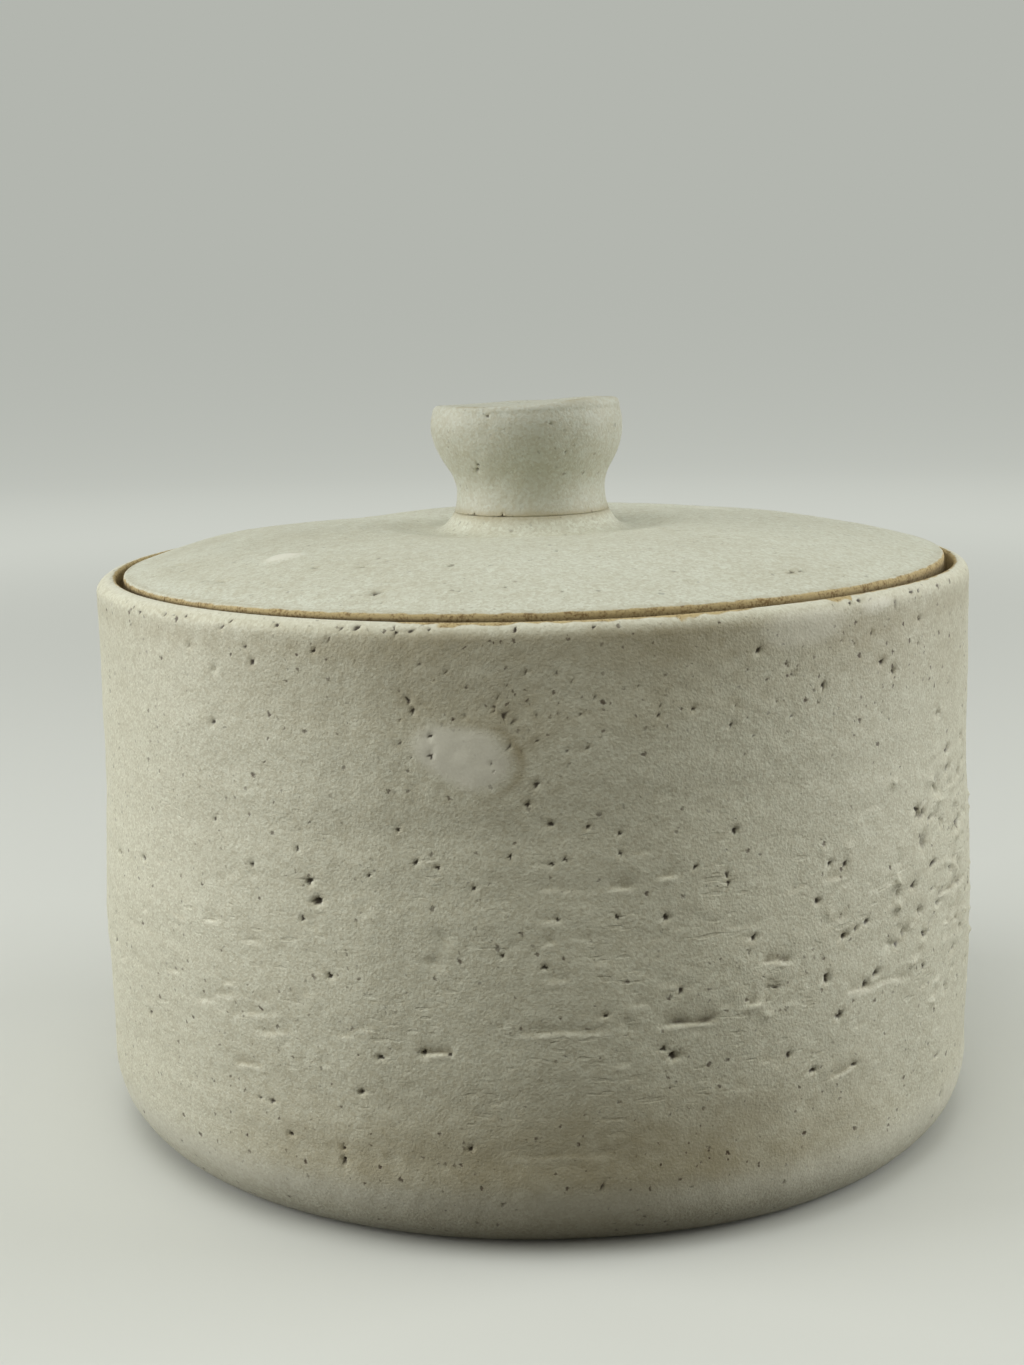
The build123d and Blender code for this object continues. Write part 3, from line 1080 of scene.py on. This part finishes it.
    def thin_places(self, surface: TurnedSurface, points: np.ndarray) -> None:
        """Say where the glaze runs thin, where it pooled smooth and where the clay was dragged.

        It is thin in a band under the lip whose lower border sways, in a streak along that border and round
        the pale blotch. Painted shade darkens the heel, most at the front, and two lines below the lip. It is
        smooth on the lip, whose pale crest is also a painted highlight, and in a pool low on the heel. The
        clay was dragged on the middle of the wall.

        Args:
            surface: the pot's surface.
            points: its points without relief, in millimetres.
        """
        along, turn, height = surface.along, surface.turn, surface.height
        foot, lip = surface.outline.ends[PotEnd.FOOT], surface.outline.ends[PotEnd.LIP]
        outside = self.outside(surface)
        sway = self.band_sway * np.sin(np.radians(3.0 * turn)) + self.band_ripple.at(points)
        above_border = height - self.band_height - sway
        band = rise(above_border, -3.5, 3.5) * (self.thinness + self.thin_band.at(turn))
        streak = self.band_streak.at(turn) * bell(above_border + 1.0, 1.3)
        halo = self.thinness * window(np.hypot((turn + 8.0) * 1.1, (height - 66.0) * 1.4), 10.0, 8.0)
        # Painted shade darkens the lower wall, most at the front.
        heel = (self.thinness + self.heel_shade.at(turn)) * (1.0 - rise(height, 10.0, 30.0))
        heel *= (0.3 + 0.7 * rise(height, 6.5, 11.5)) * (1.0 + self.heel_ripple.at(points))
        # Painted shade under the lip's overhang and on the lip's front face.
        lines = self.under_lip_shade.at(height) + self.lip_front_shade.at(turn) * bell(height - 80.6, 0.8)
        thin = band + streak + halo + heel + lines
        surface.marks["thin"] += thin * outside + 0.2 * bell(along - lip, 0.7)
        pool = self.heel_pool.at(height) * rise(along, foot + 2.0, foot + 6.0)
        # The pale pooled colour on the lip's crest is a painted highlight as well as smoother glaze.
        surface.marks["smooth"] += 0.5 * bell(along - lip + 0.5, 0.7) + pool
        surface.marks["drag"][:] = outside * rise(height, 10.0, 22.0) * (1.0 - rise(height, 50.0, 64.0))

    def warped(self, surface: TurnedSurface) -> np.ndarray:
        """Warp the lip a little, as it warped in the kiln.

        The lip rises as the cosine of the azimuth, so up at the front and down at the back, with a low
        bell curve on top at the right of the front. Its inner side stands in as one less the sine, so
        most at the left.

        Args:
            surface: the pot's surface.

        Returns:
            The warped points in millimetres.
        """
        points = surface.points()
        ends = surface.outline.ends
        bearing = np.radians(surface.azimuth)
        upper = rise(surface.height, self.rim_height - self.gallery_depth + 0.5, self.rim_height)
        points[:, 2] += (self.lip_tip * np.cos(bearing) + self.lip_hump.at(surface.turn)) * upper
        below = rise(surface.along, ends[PotEnd.GALLERY_WALL], ends[PotEnd.GALLERY_CORNER])
        inner = rise(surface.along, ends[PotEnd.LIP_BASE], ends[PotEnd.LIP]) * (1.0 - below)
        inset = self.lip_swell * (1.0 - np.sin(bearing)) * inner
        points[:, 0] -= inset * np.sin(bearing)
        points[:, 1] += inset * np.cos(bearing)
        return points

    def build(self, glaze: SpeckledGlaze) -> bpy.types.Object:
        """Make the pot and let it stand for the CAD pot.

        Args:
            glaze: its finish.

        Returns:
            The pot's object.
        """
        outline = self.outline()
        ends = outline.ends
        surface = TurnedSurface(outline, [
            (ends[PotEnd.FOOT] - 0.1, self.coarse_columns), (ends[PotEnd.LIP_EDGE], self.fine_columns),
            (ends[PotEnd.THROAT], self.gallery_columns), (ends[-1], self.coarse_columns),
        ])
        pits, tears = self.scattered()
        pits += self.pits
        tears += self.tears
        for mark in [*tears, *pits]:
            mark.gather(surface, outline.along_at_height(mark.place, PotEnd.FOOT, PotEnd.LIP))
        points = surface.points()
        self.throw(surface, points)
        self.glaze_edges(surface, points)
        self.thin_places(surface, points)
        for mark in [*self.patches, *tears, *pits]:
            mark.press(surface, outline.along_at_height(mark.place, PotEnd.FOOT, PotEnd.LIP))
        pot = surface.write("jar_pot", self.warped(surface), glaze.material())
        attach(pot, "jar")
        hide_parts("jar_body")
        return pot


class PlateEnd(IntEnum):
    """Ends of the stretches of the plate's outline that something is measured from, by their number."""

    DISH = 1
    SEAT_CORNER = 3
    EDGE = 4
    DOME_START = 5
    SEAM = 8


class KnobEnd(IntEnum):
    """Ends of the stretches of the knob's outline that something is measured from, by their number."""

    FOOT = 1
    BRIM_START = 5
    BRIM = 6


@dataclass
class Lid:
    """The lid: a domed plate with a bare edge that sits in the gallery, and the knob on its boss.

    The listed pits and patches are placed by azimuth and radius, or by height on the knob.
    """

    radius: float
    seat_height: float
    boss_height: float
    knob_radius: float
    knob_top: float
    dish_radius: float = 54.8
    dish_rise: float = 4.3
    seat_corner: float = 0.6
    edge_height: float = 4.2
    edge_round: float = 0.6
    crest_radius: float = 23.0
    crest_rise: float = 9.8
    trough_radius: float = 15.5
    trough_rise: float = 9.0
    boss_radius: float = 11.65
    neck_radius: float = 11.05
    neck_rise: float = 2.9
    shoulder_radius: float = 12.33
    shoulder_rise: float = 6.7
    widest_rise: float = 12.9
    brim_flare: Sector = Sector(0.5, 85.0, 40.0, 45.0)
    brim_radius: float = 13.9
    brim_round: float = 1.0
    dish_in_top: float = 12.0
    dish_in_top_depth: float = 0.7
    rise_to_right: float = 0.0085
    rise_to_front: float = 0.008
    knob_lean: float = 0.5
    knob_rise_to_right: float = 0.016
    knob_rise_to_front: float = 0.02
    shift: float = 0.2
    seam_gap: float = 0.07
    seam_width: float = 0.9
    # Painted shade along the seam between knob and boss.
    seam_shade: float = 0.8
    under_columns: int = 100
    plate_columns: int = 400
    knob_columns: int = 200
    scatter_seed: int = 6
    fine_pits: int = 44
    plate_ripples: Sequence[Ripple] = (Ripple(0.1, 48.0, 21), Ripple(0.05, 16.0, 22), Ripple(0.02, 2.6, 23))
    ring_height: float = 0.02
    ring_pitch: float = 4.3
    ring_ripple: Ripple = Ripple(0.6, 25.0, 24)
    low_glaze: Sector = Sector(0.2, -80.0, 32.0, 18.0)
    # Painted shade of the gap between the lid's bare edge and the rim, deeper at the front left.
    edge_gap_shade: float = 0.52
    left_edge_gap_shade: Sector = Sector(0.2, -38.0, 24.0, 14.0)
    wear: float = 0.15
    more_wear: Sector = Sector(0.12, -65.0, 35.0, 35.0)
    knob_ripples: Sequence[Ripple] = (Ripple(0.1, 24.0, 31), Ripple(0.05, 9.0, 32), Ripple(0.015, 2.4, 33))
    brim_ripple: Ripple = Ripple(1.0, 9.0, 34)
    plate_pits: Sequence[Pit] = (
        Pit(-22, 54.5, 1.8), Pit(-15, 43, 1.4), Pit(-31, 44.5, 1.4, 0.3, 0.6),
        Pit(-40, 46, 1.2, 0.3, 0.5), Pit(-51, 54.5, 1.4, 0.4, 0.6), Pit(-72, 53.5, 1.4, 0.3, 0.5),
        Pit(-22, 51, 0.7, 0.3, 0.4), Pit(38, 54, 1.1), Pit(39.5, 54.3, 0.9), Pit(12, 40, 0.6),
        Pit(70, 57.5, 1.3, 0.3, 0.3), Pit(77, 59, 1.6, 0.3, 0.2), Pit(150, 45, 0.9), Pit(-120, 30, 0.7),
        Pit(95, 38, 0.8), Pit(-160, 52, 0.8), Pit(-140, 40, 44, 0.014, 0.0),
        Pit(-112, 55, 24, -0.015, 0.0), Pit(-25.5, 39, 0.9, 0.3, 0.5), Pit(-20, 57.5, 0.6, 0.3, 0.5),
        Pit(-52.5, 39, 1.0, 0.2, 0.4), Pit(-35.5, 28.5, 0.8, 0.3, 0.5), Pit(49.5, 24, 1.0, 0.3, 0.5),
        Pit(4.5, 35.5, 1.0, 0.3, 0.5), Pit(2.5, 39.5, 0.7, 0.3, 0.4), Pit(45, 35.5, 0.9, 0.3, 0.4),
        Pit(21, 53, 0.7, 0.3, 0.4),
    )
    plate_patches: Sequence[Patch] = (
        Patch(-53, 43.5, 2.8, 3.6, 0.35, 1.0, 0.6), Patch(120, 33, 4.0, 3.0, 0.08, 0.5, 0.4),
    )
    knob_pits: Sequence[Pit] = (
        Pit(-39.5, 96.3, 0.9, 0.4, 0.6), Pit(-37, 97.0, 0.7, 0.4, 0.5), Pit(13, 102.7, 0.8, 0.3, 0.3),
        Pit(-24.5, 104.2, 0.8, 0.3, 0.6), Pit(22.5, 98.6, 0.6, 0.3, 0.5), Pit(-48, 89.9, 0.5, 0.4, 0.7),
        Pit(-22.5, 89.9, 0.5, 0.4, 0.7), Pit(130, 99.0, 0.8, 0.4, 0.6), Pit(-140, 101.0, 0.7, 0.4, 0.6),
    )

    @classmethod
    def from_frame(cls) -> "Lid":
        """Take the radii and heights of plate and knob from the CAD nodes."""
        plate_low, plate_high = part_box("lid_plate")
        _, knob_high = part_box("lid_knob")
        return cls(plate_high.x / MM, plate_low.z / MM, plate_high.z / MM, knob_high.x / MM, knob_high.z / MM)

    def plate_outline(self) -> Outline:
        """Draw the plate's half-section: dish, seat, bare edge, dome, trough and boss."""
        seat = self.seat_height
        edge_top = seat + self.edge_height
        return Outline(0.0, seat + self.dish_rise, [
            Stretch(self.dish_radius, seat, 2.4, Gait.STEADY, Gait.STARTING),
            Stretch(self.radius - self.seat_corner, seat, 0.9),
            turn_upright(self.radius, seat + self.seat_corner, 0.25),
            Stretch(self.radius, edge_top, 0.25),
            turn_level(self.radius - self.edge_round, edge_top + self.edge_round, 0.2),
            Stretch(self.crest_radius, seat + self.crest_rise, 0.55, Gait.STEADY, Gait.SETTLING),
            Stretch(self.trough_radius, seat + self.trough_rise, 0.6, Gait.STEADY, Gait.EASED),
            Stretch(self.boss_radius, self.boss_height, 0.35, Gait.STEADY, Gait.FLARING),
            Stretch(0.0, self.boss_height, 3.0),
        ])

    def knob_outline(self) -> Outline:
        """Draw the knob's half-section: foot, neck, flared cup, brim and the dish in its top."""
        foot, top = self.boss_height, self.knob_top
        return Outline(0.0, foot, [
            Stretch(self.boss_radius, foot, 3.0),
            Stretch(self.neck_radius, foot + self.neck_rise, 0.3, Gait.SETTLING),
            Stretch(self.shoulder_radius, foot + self.shoulder_rise, 0.35, Gait.STARTING),
            Stretch(self.knob_radius, foot + self.widest_rise, 0.35, Gait.SETTLING),
            Stretch(self.brim_radius, top - self.brim_round, 0.3, Gait.STARTING),
            turn_level(self.brim_radius - self.brim_round, top, 0.2),
            Stretch(self.dish_in_top, top, 0.3),
            Stretch(0.0, top - self.dish_in_top_depth, 0.8, Gait.STEADY, Gait.SETTLING),
        ])

    def scattered(self) -> list[Pit]:
        """Scatter fine pits over the whole plate, evenly by area."""
        source = np.random.default_rng(self.scatter_seed)
        count = self.fine_pits
        azimuth = source.uniform(0.0, 360.0, count)
        radius = np.sqrt(source.uniform(0.1, 0.92, count)) * self.radius
        width = source.uniform(0.5, 0.85, count)
        return list(map(Pit, azimuth, radius, width, np.full(count, 0.25), np.full(count, 0.5)))

    def sway(self, points: np.ndarray, weight: np.ndarray) -> np.ndarray:
        """Tip points a little, up towards the right and the front, and shift them, as the lid lies loose.

        Args:
            points: the points in millimetres.
            weight: how much of the tip each point takes.

        Returns:
            The tipped points.
        """
        tip = self.rise_to_right * points[:, 0] - self.rise_to_front * points[:, 1]
        moved = points.copy()
        moved[:, 2] += tip * weight
        moved[:, 0] += self.shift
        return moved

    def dress_plate(self, surface: TurnedSurface) -> None:
        """Give the plate its unevenness, its turning rings, its bare edge in painted shade and its thin
        places.

        The unevenness is a sum of ripples. The rings are a sine of the distance along the outline plus
        the azimuth, so a spiral, and come and go with a ripple. At the seam the surface draws in and is
        darkened with painted shade.

        Args:
            surface: the plate's surface.
        """
        along, turn, points = surface.along, surface.turn, surface.points()
        dish, seat_end, edge_top, dome_start, seam = surface.outline.ends[list(PlateEnd)]
        top = rise(along, dome_start, dome_start + 5.0) * (1.0 - rise(along, seam - 3.0, seam))
        under = 1.0 - rise(along, dish - 14.0, dish - 2.0)
        uneven = total(self.plate_ripples, points)
        rings = np.sin(math.tau * along / self.ring_pitch + np.radians(turn))
        rings *= self.ring_height * (1.0 + self.ring_ripple.at(points))
        surface.relief += (uneven + rings) * top + 0.6 * uneven * under
        # The bare edge is painted dark as the shade of the gap round it, more at the front left.
        shaded_edge_face = rise(along, seat_end, seat_end + 0.5) * rise(edge_top - along, -0.3, 0.55)
        surface.marks["pit"] += (self.edge_gap_shade + self.left_edge_gap_shade.at(turn)) * shaded_edge_face
        above_edge = along - edge_top - 0.5 + self.low_glaze.at(turn)
        surface.marks["glaze"][:] = np.maximum(above_edge, dish - 5.0 - along)
        seam_line = bell(along - seam, self.seam_width)
        surface.relief -= self.seam_gap * seam_line
        worn = (self.wear + self.more_wear.at(turn)) * top
        # The seam's thin mark is painted shade of the groove there.
        surface.marks["thin"] += 0.4 * bell(along - dome_start, 0.6) + self.seam_shade * seam_line + worn

    def plate(self, glaze: SpeckledGlaze) -> bpy.types.Object:
        """Make the plate and let it stand for the CAD plate.

        Args:
            glaze: its finish.

        Returns:
            The plate's object.
        """
        outline = self.plate_outline()
        ends = outline.ends
        surface = TurnedSurface(outline, [
            (ends[PlateEnd.DISH], self.under_columns), (ends[PlateEnd.SEAM], self.plate_columns),
            (ends[-1], self.under_columns),
        ])
        pits = [*self.plate_pits, *self.scattered()]
        for pit in pits:
            pit.gather(surface, outline.along_at_radius(pit.place, PlateEnd.DOME_START, PlateEnd.SEAM))
        self.dress_plate(surface)
        for mark in [*self.plate_patches, *pits]:
            mark.press(surface, outline.along_at_radius(mark.place, PlateEnd.DOME_START, PlateEnd.SEAM))
        free = rise(surface.along, ends[PlateEnd.SEAT_CORNER], ends[PlateEnd.EDGE])
        made = surface.write("lid_dome", self.sway(surface.points(), free), glaze.material())
        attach(made, "lid")
        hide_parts("lid_plate")
        return made

    def dress_knob(self, surface: TurnedSurface) -> None:
        """Give the knob its unevenness, a brim that flares a little on the right, its thin places and
        painted shade along its seam.

        Args:
            surface: the knob's surface.
        """
        along, points = surface.along, surface.points()
        foot, brim = surface.outline.ends[KnobEnd.FOOT], surface.outline.ends[KnobEnd.BRIM]
        surface.relief += total(self.knob_ripples, points) * rise(along, foot, foot + 2.0)
        surface.relief += self.brim_flare.at(surface.turn) * bell(along - brim, 1.2)
        surface.marks["glaze"][:] = along - foot + 0.4
        seam_line = bell(along - foot, self.seam_width)
        surface.relief -= self.seam_gap * seam_line
        edge = 0.8 * bell(along - brim, 0.5) * rise(self.brim_ripple.at(points), -0.4, 0.8)
        # The seam's thin mark is painted shade of the groove there.
        surface.marks["thin"] += self.seam_shade * seam_line + edge + 0.1

    def knob(self, glaze: SpeckledGlaze) -> bpy.types.Object:
        """Make the knob, leaning a little to the left, and let it stand for the CAD knob.

        Args:
            glaze: its finish.

        Returns:
            The knob's object.
        """
        outline = self.knob_outline()
        surface = TurnedSurface(outline, [(outline.ends[-1], self.knob_columns)])
        for pit in self.knob_pits:
            pit.gather(surface, outline.along_at_height(pit.place, KnobEnd.FOOT, KnobEnd.BRIM_START))
        self.dress_knob(surface)
        for pit in self.knob_pits:
            pit.press(surface, outline.along_at_height(pit.place, KnobEnd.FOOT, KnobEnd.BRIM_START))
        tipped = self.sway(surface.points(), np.ones(len(surface.along)))
        leaning = rise(surface.height, self.boss_height, self.knob_top)
        slope = self.knob_rise_to_right * tipped[:, 0] - self.knob_rise_to_front * tipped[:, 1]
        tipped[:, 2] += slope * leaning
        tipped[:, 0] -= self.knob_lean * leaning
        made = surface.write("lid_knob_cup", tipped, glaze.material())
        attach(made, "lid")
        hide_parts("lid_knob")
        return made


class Lamp(NamedTuple):
    """A soft square lamp: where it stands, how wide it is and how strong, in millimetres and watts."""

    name: str
    place: tuple[float, float, float]
    width: float
    watts: float
    tint: tuple[float, float, float] = (1.0, 1.0, 1.0)

    def build(self, aim: Vector) -> bpy.types.Object:
        """Put up the lamp, facing a point given in metres."""
        light = bpy.data.lights.new(self.name, "AREA")
        light.color = self.tint
        light.shape = "SQUARE"
        light.size = self.width * MM
        light.energy = self.watts
        made = bpy.data.objects.new(self.name, light)
        made.location = Vector(self.place) * MM
        made.rotation_euler = (aim - made.location).to_track_quat("-Z", "Y").to_euler()
        bpy.context.scene.collection.objects.link(made)
        return made


@dataclass
class Studio:
    """Seamless paper floor and backdrop, soft lamps and the camera."""

    floor_radius: float = 1100.0
    cove_radius: float = 1900.0
    cove_height: float = 1200.0
    fill_light: float = 0.55
    fill_colour: Colour = painted(240, 243, 240)
    camera_place: tuple[float, float, float] = (-3.3, -308.3, 121.2)
    camera_tilt: float = 10.67
    camera_roll: float = -1.17
    focal_length: float = 54.12
    sensor: float = 36.0
    lamps: Sequence[Lamp] = field(default_factory=lambda: (
        Lamp("lamp_above", (-150.0, -260.0, 1000.0), 600.0, 2.7),
        Lamp("lamp_left", (-950.0, -50.0, 260.0), 600.0, 7.4),
        Lamp("lamp_right", (950.0, 60.0, 260.0), 600.0, 6.4),
        Lamp("lamp_front", (0.0, -800.0, 600.0), 700.0, 1.3, (1.0, 0.95, 0.82)),
    ))

    def cove(self) -> bpy.types.Object:
        """Make the floor and backdrop as one bowl: flat in the middle, curving up at the edge."""
        outline = Outline(self.cove_radius, self.cove_height, [
            turn_level(self.floor_radius, 0.0, 60.0),
            Stretch(0.0, 0.0, 150.0),
        ])
        surface = TurnedSurface(outline, [(outline.along[-1], 96)])
        made = surface.write("paper_cove", surface.points(), BackdropPaper().material())
        return made

    def world(self) -> None:
        """Light everything a little from all round."""
        made = bpy.data.worlds.new("room_light")
        shader = Shader(made)
        feeds = {"Color": self.fill_colour, "Strength": self.fill_light}
        sky = shader.add("ShaderNodeBackground", None, feeds)
        shader.node("ShaderNodeOutputWorld", None, {"Surface": sky})
        bpy.context.scene.world = made

    def camera(self) -> bpy.types.Object:
        """Set the camera at the photo's viewing angle.

        Returns:
            The camera.
        """
        tilt, roll = math.radians(self.camera_tilt), math.radians(self.camera_roll)
        forward = Vector((0.0, math.cos(tilt), -math.sin(tilt)))
        right = Vector((1.0, 0.0, 0.0))
        upward = right.cross(forward)
        across = math.cos(roll) * right + math.sin(roll) * upward
        over = math.cos(roll) * upward - math.sin(roll) * right
        lens = bpy.data.cameras.new("photo_camera")
        lens.sensor_width = self.sensor
        lens.lens = self.focal_length
        made = bpy.data.objects.new("photo_camera", lens)
        turned = Matrix((across, over, -forward)).transposed().to_4x4()
        made.matrix_world = Matrix.Translation(Vector(self.camera_place) * MM) @ turned
        bpy.context.scene.collection.objects.link(made)
        bpy.context.scene.camera = made
        return made

    def build(self) -> None:
        """Put up the studio round the object."""
        low, high = CAD_BOX
        self.cove()
        self.world()
        self.camera()
        for lamp in self.lamps:
            lamp.build(0.5 * (low + high))
        bpy.context.scene.view_settings.view_transform = "Standard"


def report_piece(piece: bpy.types.Object) -> None:
    """Log a piece's name and how many triangles it has."""
    mesh = piece.data
    LOG.info("%s: %d triangles", piece.name, len(mesh.loops) - 2 * len(mesh.polygons))


def main() -> None:
    """Build the jar, the lid and the studio, and report each piece."""
    logging.basicConfig(level=logging.INFO, format="%(message)s")
    jar = JarBody.from_frame()
    lid = Lid.from_frame()
    report_piece(jar.build(SpeckledGlaze("jar_glaze")))
    report_piece(lid.plate(SpeckledGlaze("lid_glaze", speckle=0.45, cream=painted(216, 219, 202))))
    # The knob's cream is darker than the lid's as painted shade.
    report_piece(lid.knob(SpeckledGlaze("knob_glaze_shaded", speckle=0.5, cream=painted(196, 199, 185))))
    Studio().build()


if __name__ == "__main__":
    main()
